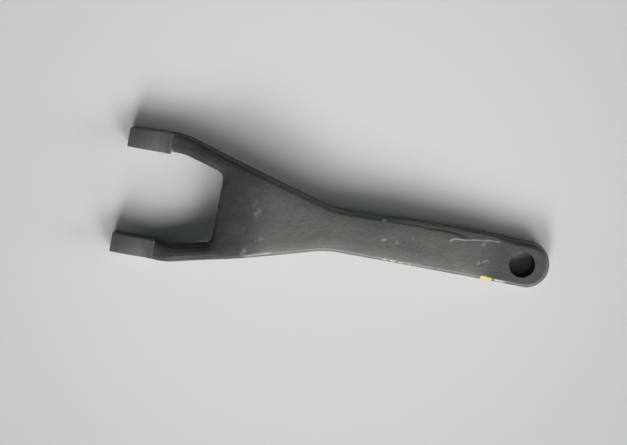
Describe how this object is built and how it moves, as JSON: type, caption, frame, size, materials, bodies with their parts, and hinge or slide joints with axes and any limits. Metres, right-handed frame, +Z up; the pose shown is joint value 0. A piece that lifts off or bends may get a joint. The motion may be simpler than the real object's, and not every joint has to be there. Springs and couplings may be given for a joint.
{
  "type": "shift fork",
  "caption": "Drop-forged shift fork lever with a rod eye at one end, a cranked arm, forked tines with machined rolling pads, and a pivot ball seat under the bend.",
  "frame": {"origin": "centre of the eye's bore, at half the eye's thickness", "axes": "+X along the lever from the fork's tips to the eye, +Y across the fork, +Z up out of the side that carries the rolling faces of the pads"},
  "size_m": [0.3181, 0.0956, 0.0309],
  "materials": {
    "forged_steel": "satin"
  },
  "bodies": {
    "root": {"shift_fork": "forged_steel"}
  },
  "joints": []
}
